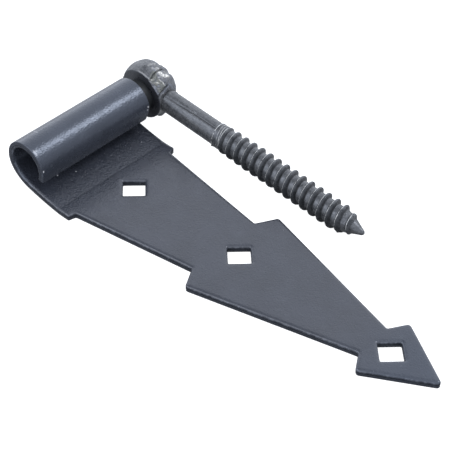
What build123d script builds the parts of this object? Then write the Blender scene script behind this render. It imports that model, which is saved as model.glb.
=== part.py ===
from build123d import *
import math
import os

# ---------------------------------------------------------------------------
# Screw hook and strap hinge, 8 inch strap, millimetres.
#
# Frame: origin on the pin axis at the middle of the rolled barrel.
#   +X runs from the barrel along the strap to its spear tip
#   +Y runs along the pin axis towards the ball head of the hook
#   +Z is up, square to the strap, which lies flat below the pin axis
# ---------------------------------------------------------------------------

# Strap sheet
sheet_t = 3.2             # thickness, coating included
half_t = sheet_t / 2
strap_top_z = -13.15      # top face of the flat strap
strap_mid_z = strap_top_z - half_t
strap_bot_z = strap_top_z - sheet_t
tip_x = 200.0             # spear tip, before it is rounded
edge_r = 0.65             # rounding of the top edges

# Rolled barrel, radii taken to the middle line of the sheet unless noted
barrel_half = 32.35       # half of the barrel length
eye_r = 9.525             # round eye about the pin
eye_end_deg = -12.0       # where the wrap stops being round
tail_len = 2.3            # short straight end of the wrap
crease_deg = 7.0          # upward crease at the root of the strap
crease_r = 4.775
crease_x = 19.9           # where the two sides of the crease would cross
sweep_r = 139.775         # long slow curve between the crease and the roll
sweep_end_deg = 15.0      # slope of the sheet where the slow curve ends

# Strap outline: places along X and the half widths there
base_x = 25.9             # end of the full-width root
neck_x, neck_half = 26.7, 28.8
taper1_x, taper1_half = 86.6, 19.3
step2_x, step2_half = 91.9, 28.95
taper2_x, taper2_half = 166.2, 8.95
step3_x, step3_half = 171.3, 17.3

# Corners of the outline, in the order they are rounded: (places, radius)
corner_radii = (
    ((step2_x, step3_x), 1.6),
    ((taper1_x, taper2_x), 0.9),
    ((neck_x,), 1.2),
    ((base_x,), 0.7),
    ((tip_x,), 1.3),
)
corner_tol = 0.1          # how near its place a corner is looked for

# How far the strap's raw shapes and cutters overshoot the finished leaf
sheet_over = 6.0          # sheet beyond the tip
plan_start_x = -20.0      # outline behind the barrel
plan_below, plan_height = 4, 40
punch_over = 2

# Square bolt holes, set as diamonds
hole_side = 10.0
hole_x = (33.1, 95.4, 175.2)
hole_corner_r = 0.6

# Pin
pin_r = 7.85
pin_end_y = -13.8
pin_lead = 2.0            # depth of the lead-in cone at the free end
pin_lead_len = pin_lead * 1.2
pin_end_r = 0.9           # rounding of the free end
pin_spigot_r, pin_spigot_len = 5.0, 5.6
pin_spigot_chamfer = 0.6

# Ball head
pin_face_y = 38.0         # flat of the ball, facing the barrel
ball_r = 12.8
ball_c = (-1.0, 43.6, 0.0)
ball_edge_r = 0.9

# Clearances between the pieces of the hook
seat_gap = 0.03           # shoulders, and round the lag screw
pin_spigot_gap = 0.05     # round the pin's spigot
spigot_end_gap = 0.1      # beyond the end of each spigot
lag_cut_len = 6           # length of each cut for the lag screw

# Lag screw; stations are distances from the pin axis along the screw's axis
lag_y = 44.1
lag_drop_deg = 5.0        # the screw slopes down towards +X
shank_r = 5.25
shank_start = 10.6
lag_spigot_r, lag_spigot_start = 3.6, 6.9
thread_start = 42.6
shank_end = thread_start + 1.9
root_start = thread_start + 3.9
root_r, crest_r = 4.85, 6.47
cone_start = 114.6        # where the crests begin to narrow
lag_len = 126.3
point_start = lag_len - 0.1
point_r = 0.55            # where the cone of the crests ends
core_point_r = point_r + 0.05
point_flat_r = point_r - 0.25
cone_slope = (crest_r - point_r) / (point_start - cone_start)
root_end = point_start - (root_r - point_r) / cone_slope + 0.1

# Thread ridge
pitch = 4.83
crest_flat = 0.85
flank_deg = 30
ridge_depth = crest_r - root_r
ridge_sink = 0.35         # how far the ridge is let into the root
ridge_foot = crest_flat / 2 + (ridge_depth + ridge_sink) * math.tan(math.radians(flank_deg))
helix_start = thread_start + 1.7
helix_len = lag_len - 6.0 - thread_start
trim_start, trim_start_r = thread_start + 0.3, 5.05
trim_wide, trim_wide_r = thread_start + 13.0, 9.0

# ---------------------------------------------------------------------------
# Middle line of the sheet, in X and Z: flat strap, crease, slow curve, blend,
# round eye, short straight tail. All runs are tangent to each other, and the
# blend's radius is the one that meets the eye.
# ---------------------------------------------------------------------------
crease_angle = math.radians(crease_deg)
sweep_angle = math.radians(sweep_end_deg)
eye_end = math.radians(eye_end_deg)

crease_c = (crease_x + crease_r * math.tan(crease_angle / 2), strap_mid_z + crease_r)
ramp_start = (
    crease_c[0] - crease_r * math.sin(crease_angle),
    crease_c[1] - crease_r * math.cos(crease_angle),
)
sweep_c = (
    ramp_start[0] + sweep_r * math.sin(crease_angle),
    ramp_start[1] + sweep_r * math.cos(crease_angle),
)
ramp_end = (
    sweep_c[0] - sweep_r * math.sin(sweep_angle),
    sweep_c[1] - sweep_r * math.cos(sweep_angle),
)
lean = ramp_end[0] * math.sin(sweep_angle) + ramp_end[1] * math.cos(sweep_angle)
blend_r = (eye_r**2 - ramp_end[0] ** 2 - ramp_end[1] ** 2) / (2 * (lean + eye_r))
blend_c = (
    ramp_end[0] + blend_r * math.sin(sweep_angle),
    ramp_end[1] + blend_r * math.cos(sweep_angle),
)
crease_end_deg = 270.0 - crease_deg
blend_start_deg = 270.0 - sweep_end_deg
meet_deg = math.degrees(math.atan2(-blend_c[1], -blend_c[0])) % 360.0

# Arcs from the flat strap to the tail: (centre, radius, start angle, end angle)
sheet_arcs = (
    (crease_c, crease_r, 270, crease_end_deg),
    (sweep_c, sweep_r, crease_end_deg, blend_start_deg),
    (blend_c, blend_r, blend_start_deg, meet_deg),
    ((0, 0), eye_r, meet_deg, eye_end_deg),
)


def flat_ends(offset):
    """Both ends of the flat strap, offset outside the middle line: tip end, crease end."""
    z = strap_mid_z - offset
    return (tip_x + sheet_over, z), (crease_c[0], z)


def tail_ends(offset):
    """Both ends of the straight tail, offset outside the middle line: eye end, free end."""
    radius = eye_r + offset
    x, z = radius * math.cos(eye_end), radius * math.sin(eye_end)
    return (x, z), (x + tail_len * math.sin(eye_end), z - tail_len * math.cos(eye_end))


def make_strap_leaf():
    """Strap and barrel: one sheared and rolled piece of sheet."""
    flat_out, crease_out = flat_ends(half_t)
    flat_in, crease_in = flat_ends(-half_t)
    eye_out, tail_out = tail_ends(half_t)
    eye_in, tail_in = tail_ends(-half_t)

    # outline of the +Y side, from the barrel to the last step; the other side mirrors it
    side = [
        (plan_start_x, barrel_half),
        (base_x, barrel_half),
        (neck_x, neck_half),
        (taper1_x, taper1_half),
        (step2_x, step2_half),
        (taper2_x, taper2_half),
        (step3_x, step3_half),
    ]
    outline = side + [(tip_x, 0.0)] + [(x, -y) for x, y in reversed(side)]

    with BuildPart() as leaf:
        # section of the sheet, seen along the pin
        with BuildSketch(Plane(origin=(0, barrel_half, 0), x_dir=(1, 0, 0), z_dir=(0, -1, 0))):
            with BuildLine():
                Line(flat_out, crease_out)
                for centre, radius, start, end in sheet_arcs:
                    CenterArc(centre, radius + half_t, start, end - start)
                Line(eye_out, tail_out)
                Line(tail_out, tail_in)
                Line(tail_in, eye_in)
                for centre, radius, start, end in reversed(sheet_arcs):
                    CenterArc(centre, radius - half_t, end, start - end)
                Line(crease_in, flat_in)
                Line(flat_in, flat_out)
            make_face()
        extrude(amount=2 * barrel_half)

        # plan outline of the strap: root, two barbed steps and the spear tip
        with BuildSketch(Plane.XY.offset(strap_bot_z - plan_below)) as plan:
            with BuildLine():
                Polyline(*outline, close=True)
            make_face()
            for places, radius in corner_radii:
                corners = [
                    v for v in plan.vertices()
                    if any(abs(v.X - place) < corner_tol for place in places)
                ]
                fillet(corners, radius=radius)
        extrude(amount=plan_height, mode=Mode.INTERSECT)

        # three square holes, standing on their corners
        with BuildSketch(Plane.XY.offset(strap_bot_z - punch_over)):
            with Locations(*[(x, 0) for x in hole_x]):
                RectangleRounded(hole_side, hole_side, hole_corner_r, rotation=45)
        extrude(amount=sheet_t + 2 * punch_over, mode=Mode.SUBTRACT)

        # edges of the flat top face, rims of the holes included
        top_edges = leaf.edges().filter_by(
            lambda e: e.center().X > base_x - 0.4
            and abs(e.center().Z - strap_top_z) < 0.02
            and abs(e.bounding_box().size.Z) < 0.01
        )
        fillet(top_edges, radius=edge_r)
    return leaf.part


def make_pintle_pin():
    """Round pin that stands in the ball head and carries the barrel."""
    shoulder_y = pin_face_y - seat_gap
    spigot_end_y = pin_face_y + pin_spigot_len
    with BuildPart() as pin:
        with BuildSketch(Plane.XY):
            with BuildLine():
                Polyline(
                    (0, pin_end_y),
                    (pin_r - pin_lead, pin_end_y),
                    (pin_r, pin_end_y + pin_lead_len),
                    (pin_r, shoulder_y),
                    (pin_spigot_r, shoulder_y),
                    (pin_spigot_r, spigot_end_y - pin_spigot_chamfer),
                    (pin_spigot_r - pin_spigot_chamfer, spigot_end_y),
                    (0, spigot_end_y),
                    close=True,
                )
            make_face()
        revolve(axis=Axis.Y)
        free_end = pin.edges().filter_by(GeomType.CIRCLE).group_by(Axis.Y)[0]
        fillet(free_end, radius=pin_end_r)
    return pin.part


# Axis of the lag screw, from the pin axis outwards
lag_drop = math.radians(lag_drop_deg)
lag_dir = Vector(math.cos(lag_drop), 0, -math.sin(lag_drop))
lag_org = Vector(0, lag_y, 0)
lag_axis = Axis(lag_org, lag_dir)
# Profile plane of the screw: x is the station along it, y the radius
lag_profile_plane = Plane(origin=lag_org, x_dir=lag_dir, z_dir=(0, 1, 0))


def lag_plane(station):
    """Plane square to the lag screw at a station."""
    return Plane(origin=lag_org + lag_dir * station, x_dir=(0, 1, 0), z_dir=lag_dir)


def make_ball_head():
    """Ball with a flat towards the barrel, cut for the pin and the lag screw."""
    face_off = ball_c[1] - pin_face_y
    face_half = math.sqrt(ball_r**2 - face_off**2)
    with BuildPart() as ball:
        # the sketch's x and y run along -X and -Y
        with BuildSketch(Plane(origin=ball_c, x_dir=(-1, 0, 0), z_dir=(0, 0, 1))):
            with BuildLine():
                Line((0, -ball_r), (0, face_off))
                Line((0, face_off), (face_half, face_off))
                ThreePointArc((face_half, face_off), (ball_r, 0), (0, -ball_r))
            make_face()
        revolve(axis=Axis(ball_c, (0, 1, 0)))
        face_rim = ball.edges().filter_by(GeomType.CIRCLE).group_by(Axis.Y)[0]
        fillet(face_rim, radius=ball_edge_r)

        # bore for the pin's spigot
        with BuildSketch(Plane(origin=(0, pin_face_y, 0), x_dir=(1, 0, 0), z_dir=(0, 1, 0))):
            Circle(pin_spigot_r + pin_spigot_gap)
        extrude(amount=pin_spigot_len + spigot_end_gap, mode=Mode.SUBTRACT)

        # spot face for the shank of the lag screw, then the bore for its spigot
        with BuildSketch(lag_plane(shank_start)):
            Circle(shank_r + seat_gap)
        extrude(amount=lag_cut_len, mode=Mode.SUBTRACT)
        with BuildSketch(lag_plane(lag_spigot_start - spigot_end_gap)):
            Circle(lag_spigot_r + seat_gap)
        extrude(amount=lag_cut_len, mode=Mode.SUBTRACT)
    return ball.part


def make_thread_ridge():
    """Narrow-crested right-hand ridge, wound round the root of the thread."""
    with BuildPart() as ridge:
        with BuildLine():
            turns = Helix(
                pitch=pitch,
                height=helix_len,
                radius=root_r,
                center=lag_org + lag_dir * helix_start,
                direction=lag_dir,
            )
        start = turns @ 0
        start_centre = lag_org + lag_dir * (start - lag_org).dot(lag_dir)
        with BuildSketch(Plane(origin=start, x_dir=start - start_centre, z_dir=turns % 0)):
            with BuildLine():
                Polyline(
                    (-ridge_sink, -ridge_foot),
                    (-ridge_sink, ridge_foot),
                    (ridge_depth, crest_flat / 2),
                    (ridge_depth, -crest_flat / 2),
                    close=True,
                )
            make_face()
        sweep(is_frenet=True)

        # the ridge grows out of the shank and dies away down the cone point
        with BuildSketch(lag_profile_plane):
            with BuildLine():
                Polyline(
                    (trim_start, 0),
                    (trim_start, trim_start_r),
                    (trim_wide, trim_wide_r),
                    (cone_start - (trim_wide_r - crest_r) / cone_slope, trim_wide_r),
                    (point_start, point_r),
                    (point_start, 0),
                    close=True,
                )
            make_face()
        revolve(axis=lag_axis, mode=Mode.INTERSECT)
    return ridge.part


def make_lag_screw():
    """Spigot, plain shank, coarse wood thread and cone point."""
    ridge = make_thread_ridge()
    shoulder = shank_start + seat_gap
    with BuildPart() as screw:
        with BuildSketch(lag_profile_plane):
            with BuildLine():
                Polyline(
                    (lag_spigot_start, 0),
                    (lag_spigot_start, lag_spigot_r),
                    (shoulder, lag_spigot_r),
                    (shoulder, shank_r),
                    (shank_end, shank_r),
                    (root_start, root_r),
                    (root_end, root_r),
                    (point_start, core_point_r),
                    (lag_len, point_flat_r),
                    (lag_len, 0),
                    close=True,
                )
            make_face()
        revolve(axis=lag_axis)
        add(ridge)
    return screw.part


pieces = {
    "strap_leaf": make_strap_leaf,
    "pintle_pin": make_pintle_pin,
    "ball_head": make_ball_head,
    "lag_screw": make_lag_screw,
}

os.makedirs("parts", exist_ok=True)
for name, make in pieces.items():
    part = make()
    part.label = name
    export_step(part, "parts/" + name + ".step")
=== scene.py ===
import math
from itertools import product

import bmesh
import bpy
import numpy as np
from mathutils import Matrix, Vector
from mathutils.geometry import delaunay_2d_cdt


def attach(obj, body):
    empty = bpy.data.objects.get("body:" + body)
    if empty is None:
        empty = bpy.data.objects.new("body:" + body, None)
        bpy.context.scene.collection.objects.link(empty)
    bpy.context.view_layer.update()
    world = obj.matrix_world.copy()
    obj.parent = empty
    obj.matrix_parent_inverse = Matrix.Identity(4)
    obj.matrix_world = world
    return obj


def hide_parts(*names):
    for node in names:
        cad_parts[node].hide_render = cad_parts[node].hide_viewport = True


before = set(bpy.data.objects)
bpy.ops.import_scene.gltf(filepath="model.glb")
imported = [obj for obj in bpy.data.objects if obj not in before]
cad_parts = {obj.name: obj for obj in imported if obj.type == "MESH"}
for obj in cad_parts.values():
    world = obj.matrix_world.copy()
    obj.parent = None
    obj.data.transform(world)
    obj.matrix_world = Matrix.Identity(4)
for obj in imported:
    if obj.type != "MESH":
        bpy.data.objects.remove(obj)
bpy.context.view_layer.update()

MM = 0.001

# ---------------------------------------------------------------------------
# Driving dimensions, millimetres
# ---------------------------------------------------------------------------
SHEET_T = 3.2
TOP_Z = -13.15
MID_Z = TOP_Z - SHEET_T / 2
BOT_Z = TOP_Z - SHEET_T
TIP_X = 200.0
BARREL_HALF = 32.35  # half the barrel's length along Y
PIN_FACE_Y = 38.0  # the ball's flat face, where the pin enters
BALL_CENTRE = np.array([-1.5, 43.2, 0.05])
BALL_R = 12.72
SCREW_DIP = math.radians(5.0)
SCREW_START = np.array([0.0, 44.1, 0.0])
SCREW_AXIS = np.array([math.cos(SCREW_DIP), 0.0, -math.sin(SCREW_DIP)])
SHANK_R = 5.25

# the camera's place and its unit axes
CAMERA_AT = np.array([386.86355949, -334.98866514, 398.46471312])
CAMERA_RIGHT = np.array([0.734944926, 0.6779195, 0.016766252])
CAMERA_DOWN = np.array([0.460126972, -0.48036521, -0.746680946])
CAMERA_AHEAD = np.array([-0.49813565, 0.556483977, -0.664971021])


# ---------------------------------------------------------------------------
# Numeric helpers
# ---------------------------------------------------------------------------
def lattice_hash(x, y, z, seed):
    """Repeatable value in [0, 1] at each lattice point."""
    with np.errstate(over="ignore"):
        bits = (
            x.astype(np.uint32) * np.uint32(0x8DA6B343)
            ^ y.astype(np.uint32) * np.uint32(0xD8163841)
            ^ z.astype(np.uint32) * np.uint32(0xCB1AB31F)
            ^ np.uint32((seed * 2654435761) & 0xFFFFFFFF)
        )
        for shift, factor in ((15, 0x2C1B3C6D), (12, 0x297A2D39)):
            bits ^= bits >> np.uint32(shift)
            bits *= np.uint32(factor)
        bits ^= bits >> np.uint32(15)
    return bits.astype(np.float64) / 4294967295.0


def noise(points, seed):
    """Value noise in [-1, 1] for an (n, 3) array."""
    floor = np.floor(points)
    cell = floor.astype(np.int64)
    part = points - floor
    part = part * part * part * (part * (part * 6 - 15) + 10)
    total = np.zeros(len(points))
    for corner in product((0, 1), repeat=3):
        weight_x, weight_y, weight_z = np.where(corner, part, 1 - part).T
        total += weight_x * weight_y * weight_z * lattice_hash(*(cell + corner).T, seed)
    return total * 2 - 1


def fractal(points, octaves, seed):
    """Octaves of value noise, each half as strong as the one before."""
    total, strength, weight = np.zeros(len(points)), 1.0, 0.0
    for k in range(octaves):
        total += strength * noise(points * (2.03**k) + 17.3 * k, seed + k)
        weight += strength
        strength *= 0.5
    return total / weight


def smooth(start, end, value):
    """Eased step from 0 at start to 1 at end."""
    share = np.clip((value - start) / (end - start), 0, 1)
    return share * share * (3 - 2 * share)


def bell(offset, width):
    return np.exp(-((offset / width) ** 2))


def interp(value, stations):
    """Linear interpolation in a table of (position, value) stations."""
    return np.interp(value, *np.array(stations).T)


def soft_min(first, second, blend):
    share = np.clip(0.5 + 0.5 * (second - first) / blend, 0, 1)
    return second * (1 - share) + first * share - blend * share * (1 - share)


def unit(vector):
    vector = np.array(vector, float)
    return vector / np.linalg.norm(vector)


def columns(*parts):
    """Point array from coordinate arrays or single numbers."""
    return np.stack(np.broadcast_arrays(*parts), 1)


def circle(count):
    """Angles of a closed ring."""
    return np.linspace(0, 2 * math.pi, count, endpoint=False)


# ---------------------------------------------------------------------------
# Mesh helpers
# ---------------------------------------------------------------------------
def tube_faces(rows, count, base=0):
    """Quads between successive closed rows of count vertices."""
    faces = []
    for i in range(rows - 1):
        near, far = base + i * count, base + (i + 1) * count
        for j in range(count):
            k = (j + 1) % count
            faces.append((near + j, near + k, far + k, far + j))
    return faces


def end_caps(hub, first, last, count):
    """Fans over a tube's two end rows; hub and hub + 1 are their centres."""
    faces = []
    for j in range(count):
        k = (j + 1) % count
        faces += [(hub, first + k, first + j), (hub + 1, last + j, last + k)]
    return faces


def make_mesh(name, verts_mm, faces, attributes=None):
    """Smooth-shaded object from millimetre vertices, with point attributes."""
    mesh = bpy.data.meshes.new(name)
    mesh.from_pydata([tuple(vert) for vert in np.asarray(verts_mm, float) * MM], [], faces)
    mesh.validate()
    work = bmesh.new()
    work.from_mesh(mesh)
    bmesh.ops.recalc_face_normals(work, faces=work.faces)
    work.to_mesh(mesh)
    work.free()
    mesh.polygons.foreach_set("use_smooth", [True] * len(mesh.polygons))
    for key, values in (attributes or {}).items():
        values = np.asarray(values, np.float32)
        if values.ndim == 1:
            mesh.attributes.new(key, "FLOAT", "POINT").data.foreach_set("value", values)
        else:
            data = mesh.attributes.new(key, "FLOAT_VECTOR", "POINT").data
            data.foreach_set("vector", values.ravel())
    mesh.update()
    return add_object(name, mesh)


def add_object(name, data):
    item = bpy.data.objects.new(name, data)
    bpy.context.scene.collection.objects.link(item)
    return item


# ---------------------------------------------------------------------------
# Strap: unrolled sheet (along the strap, across it, above its middle layer)
# ---------------------------------------------------------------------------
BEND = math.radians(7.0)  # first upward bend, where the flat strap ends
BEND_R = 3.2
BEND_X = 19.9
SWEEP_R = 139.775  # long shallow rise towards the barrel
SWEEP_END = math.radians(15.0)
EYE_R = 9.525  # the middle layer round the barrel
EYE_END = math.radians(-12.0)
TAIL = 2.3  # straight length at the free end of the wrap


def roll_layout():
    """Where the bend starts, and the middle layer's arcs from there to the end of the wrap.

    An arc is (centre, radius, start angle, end angle) in the XZ plane.
    """
    start = BEND_X + BEND_R * math.tan(BEND / 2)
    bend_centre = np.array([start, MID_Z + BEND_R])
    bend_normal = np.array([math.sin(BEND), math.cos(BEND)])
    bend_end = bend_centre - BEND_R * bend_normal
    sweep_centre = bend_end + SWEEP_R * bend_normal
    normal = np.array([math.sin(SWEEP_END), math.cos(SWEEP_END)])
    sweep_end = sweep_centre - SWEEP_R * normal
    # the arc that runs tangent from the sweep into the eye
    join_r = (EYE_R**2 - sweep_end @ sweep_end) / (2 * (sweep_end @ normal + EYE_R))
    join_centre = sweep_end + join_r * normal
    meet = math.atan2(-join_centre[1], -join_centre[0]) % (2 * math.pi)
    bottom = 1.5 * math.pi
    return start, [
        (bend_centre, BEND_R, bottom, bottom - BEND),
        (sweep_centre, SWEEP_R, bottom - BEND, bottom - SWEEP_END),
        (join_centre, join_r, bottom - SWEEP_END, meet),
        (np.zeros(2), EYE_R, meet, EYE_END),
    ]


ROLL_START, ARCS = roll_layout()
ARC_LENGTHS = [radius * abs(start - end) for _, radius, start, end in ARCS]
FREE_END = ROLL_START - sum(ARC_LENGTHS) - TAIL


def sheet_point(along, across, above):
    """Unrolled sheet to the part frame."""
    x, z = along.copy(), np.full_like(along, MID_Z)
    normal_x, normal_z = np.zeros_like(along), np.ones_like(along)
    travel = ROLL_START - along
    passed = 0.0
    for (centre, radius, start, end), length in zip(ARCS, ARC_LENGTHS):
        beyond = travel > passed
        angle = start + (end - start) * np.clip((travel - passed) / length, 0, 1)
        cos, sin = np.cos(angle), np.sin(angle)
        x = np.where(beyond, centre[0] + radius * cos, x)
        z = np.where(beyond, centre[1] + radius * sin, z)
        normal_x = np.where(beyond, -cos, normal_x)
        normal_z = np.where(beyond, -sin, normal_z)
        passed += length
    beyond = travel > passed
    x = np.where(beyond, x + (travel - passed) * math.sin(EYE_END), x)
    z = np.where(beyond, z - (travel - passed) * math.cos(EYE_END), z)
    return columns(x + normal_x * above, across, z + normal_z * above)


# inset from the sheared edge, slope of the top face in degrees: the die pulls the rim down
ROLL_OVER = (
    (1.75, 0), (1.45, 5), (1.14, 10), (0.83, 16), (0.57, 22.5),
    (0.39, 30), (0.26, 39.5), (0.155, 53), (0.07, 68), (0.0, 82),
)
BORDER = 0.60  # inset at which the rim profile meets the fill of the faces
RIM_OUT = 0.09  # the sheared wall stands this far outside the drawn outline
ROLL_INSETS = (BORDER, 0.50, 0.41, 0.33, 0.26, 0.20, 0.145, 0.10, 0.06, 0.025, 0.0)
# inset, drop below the top face
WALL = (
    (0.0, 1.45), (0.0, 1.75), (0.012, 2.0), (0.035, 2.15), (0.045, 2.5), (0.05, 2.8),
    (0.06, 2.98), (0.09, 3.07), (0.14, 3.135), (0.21, 3.18), (0.30, 3.197), (0.42, SHEET_T),
    (BORDER, SHEET_T),
)


def roll_table():
    """Insets and the drop of the top face at each, summed up from the slopes."""
    insets = np.linspace(0, ROLL_OVER[0][0], 141)
    slope = np.tan(np.radians(interp(insets, ROLL_OVER[::-1])))
    falls = (slope[1:] + slope[:-1]) / 2 * (insets[1] - insets[0])
    return insets, np.concatenate([np.cumsum(falls[::-1])[::-1], [0]])


ROLL_TABLE = roll_table()


def roll_drop(inset):
    return np.interp(inset, *ROLL_TABLE)


def rounded_loop(corners, step):
    """Closed loop from anticlockwise (x, y, radius) corners: points and outward normals."""
    places = [np.array(corner[:2], float) for corner in corners]
    fillets = []
    for i, place in enumerate(places):
        back = unit(places[i - 1] - place)
        ahead = unit(places[(i + 1) % len(places)] - place)
        turn = math.pi - math.acos(max(-1, min(1, float(back @ ahead))))
        radius = corners[i][2]
        cut = radius * math.tan(turn / 2)
        side = 1 if back[1] * ahead[0] - back[0] * ahead[1] > 0 else -1
        fillets.append((radius, place + back * cut, place + ahead * cut, turn, side, back, ahead))
    points, normals = [], []
    for i, (radius, start, end, turn, side, back, ahead) in enumerate(fillets):
        normal = np.array([-back[1], back[0]])
        centre = start - normal * radius * side
        first = math.atan2(normal[1] * side, normal[0] * side)
        segments = max(5, int(math.degrees(turn) / 7.5))
        for j in range(segments + 1):
            angle = first + side * turn * j / segments
            spoke = np.array([math.cos(angle), math.sin(angle)])
            points.append(centre + spoke * radius)
            normals.append(spoke * side)
        straight = fillets[(i + 1) % len(fillets)][1] - end
        pieces = max(1, int(round(np.linalg.norm(straight) / step)))
        for j in range(1, pieces):
            points.append(end + straight * j / pieces)
            normals.append(np.array([ahead[1], -ahead[0]]))
    return np.array(points), np.array(normals)


# -Y half of the outline from the free end to the tip: along, across, corner radius
STRAP_HALF = [
    (FREE_END, -BARREL_HALF, 0.75), (25.9, -BARREL_HALF, 0.75), (26.7, -28.8, 1.2),
    (86.6, -19.3, 0.9), (91.9, -28.95, 1.6), (166.2, -8.95, 0.9), (171.3, -17.3, 1.6),
    (TIP_X, 0.0, 1.3),
]
HOLES_X = (33.1, 95.4, 175.2)
HOLE_SIDE = 10.0  # square holes, set with a corner towards the tip
HOLE_CORNER_R = 0.6


def strap_rings():
    """Outline and holes as points and the normals that point out of the metal."""
    corners = STRAP_HALF + [(x, -y, radius) for x, y, radius in STRAP_HALF[-2::-1]]
    # the +Y corner of the free end was trimmed before rolling
    corners[-1:] = [(FREE_END + 6.8, BARREL_HALF, 1.0), (FREE_END, BARREL_HALF - 2.1, 0.75)]
    rings = [rounded_loop(corners, step=1.1)]
    reach = HOLE_SIDE / 2 * math.sqrt(2)
    for x in HOLES_X:
        places = ((x + reach, 0), (x, reach), (x - reach, 0), (x, -reach))
        points, normals = rounded_loop([(*place, HOLE_CORNER_R) for place in places], step=0.7)
        rings.append((points, -normals))
    return rings


def rim_walls(rings):
    """Rounded and sheared walls: vertices, edge and shear values, faces, top and bottom loops."""
    profile = [(inset, float(roll_drop(inset))) for inset in ROLL_INSETS] + list(WALL)
    verts, edge, shear, faces, top_loops, bottom_loops = [], [], [], [], [], []
    base = 0
    for k, (outline, normals) in enumerate(rings):
        count = len(outline)
        gaps = np.linalg.norm(np.diff(outline, axis=0), axis=1)
        run = np.concatenate([[0], np.cumsum(gaps)])
        wobble = 0.020 * fractal(columns(*outline.T, 3.7 * k) / 5.0, octaves=3, seed=11 + k)
        for inset, drop in profile:
            # the broken lower part of a sheared wall is rougher than the cut part
            rough = 0.0
            if 1.9 < drop < 3.0:
                rough = 0.018 * noise(columns(*(outline * 1.6).T, drop * 2.0 + k), seed=5)
            moved = outline - normals * (inset - RIM_OUT + wobble - rough)[:, None]
            verts.append(columns(*moved.T, SHEET_T / 2 - drop))
            rubbed = float(smooth(0.42, 0.16, inset)) if drop < 1.4 or drop > 3.0 else 0.12
            edge.append(np.full(count, rubbed))
            shear.append(columns(run, drop, 1.0 if 0.9 < drop < 3.05 else 0.0))
        faces += tube_faces(len(profile), count, base)
        last = base + (len(profile) - 1) * count
        top_loops.append(list(range(base, base + count)))
        bottom_loops.append(list(range(last, last + count)))
        base = last + count
    stacked = [np.concatenate(values) for values in (verts, edge, shear)]
    return *stacked, faces, top_loops, bottom_loops


def rim_distance(points, loops):
    """Distance to the nearest loop, and whether each point is in the outline but in no hole."""
    inside = np.ones(len(points), bool)
    distance = np.full(len(points), 1e9)
    for k, start in enumerate(loops):
        end = np.roll(start, -1, 0)
        side = end - start
        for first in range(0, len(points), 2000):
            block = slice(first, first + 2000)
            spot = points[block, None, :]
            share = np.clip(((spot - start) * side).sum(2) / (side**2).sum(1), 0, 1)
            gap = np.linalg.norm(spot - (start + side * share[..., None]), axis=2).min(1)
            distance[block] = np.minimum(distance[block], gap)
            y0, y1 = start[:, 1], end[:, 1]
            x, y = spot[..., 0], spot[..., 1]
            meet = (end[:, 0] - start[:, 0]) * (y - y0) / (y1 - y0 + 1e-12) + start[:, 0]
            odd = (((y0 > y) != (y1 > y)) & (x < meet)).sum(1) % 2 == 1
            inside[block] &= odd if k == 0 else ~odd
    return distance, inside


FINE_UNTIL = 21  # the grid is finer on the rolled part, below this place along the strap
GRID_GAP = 1.75  # clear space between the grid and the rim loops
THIN_CELL = 0.16  # rim rows are thinned where they crowd closer than this


def fill_points(rings, loops):
    """Points inside the faces, so that the sheet can be wavy, and their inset from the edge."""
    grid = []
    along = FREE_END + 1.1
    row = 0
    while along < TIP_X:
        step, gap = (0.85, 1.7) if along < FINE_UNTIL else (1.9, 2.2)
        shift = step * 0.55 if row % 2 else 0
        grid += [(along, across) for across in np.arange(-31.2 + shift, 31.3, gap)]
        along += step
        row += 1
    grid = np.array(grid)
    distance, inside = rim_distance(grid, loops)
    grid = grid[inside & (distance > GRID_GAP)]

    # rows that follow the rims, so that the dropped border is smooth
    rows = []
    for outline, normals in rings:
        for inset in (0.80, 1.02, 1.27, 1.55, 1.88):
            rows.append(columns(*(outline - normals * (inset - RIM_OUT)).T, inset - BORDER))
    rows = np.concatenate(rows)
    distance, inside = rim_distance(rows[:, :2], loops)
    rows = rows[inside & (distance > rows[:, 2] - 0.05)][:, :2]
    taken, kept = set(), []
    for x, y in rows:
        i, j = int(round(x / THIN_CELL)), int(round(y / THIN_CELL))
        if not any((i + di, j + dj) in taken for di, dj in product((-1, 0, 1), repeat=2)):
            taken.add((i, j))
            kept.append((x, y))
    points = np.concatenate([grid, np.array(kept)])
    return points, rim_distance(points, loops)[0] + BORDER


def fill_faces(loops, points, top_ids, bottom_ids):
    """Triangles of both faces; the id lists cover the loop vertices, then the fill points."""
    edges, start = [], 0
    for loop in loops:
        count = len(loop)
        edges += [(start + j, start + (j + 1) % count) for j in range(count)]
        start += count
    flat = [Vector(point) for point in np.concatenate([*loops, points])]
    out = delaunay_2d_cdt(flat, edges, [], 0, 1e-7)
    places = np.array([tuple(place) for place in out[0]])
    centres = np.array([places[list(triangle)].mean(0) for triangle in out[2]])
    origin = [sources[0] for sources in out[3]]
    faces = []
    for triangle, keep in zip(out[2], rim_distance(centres, loops)[1]):
        if keep:
            ids = [origin[i] for i in triangle]
            faces.append(tuple(top_ids[i] for i in ids))
            faces.append(tuple(bottom_ids[i] for i in reversed(ids)))
    return faces


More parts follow.
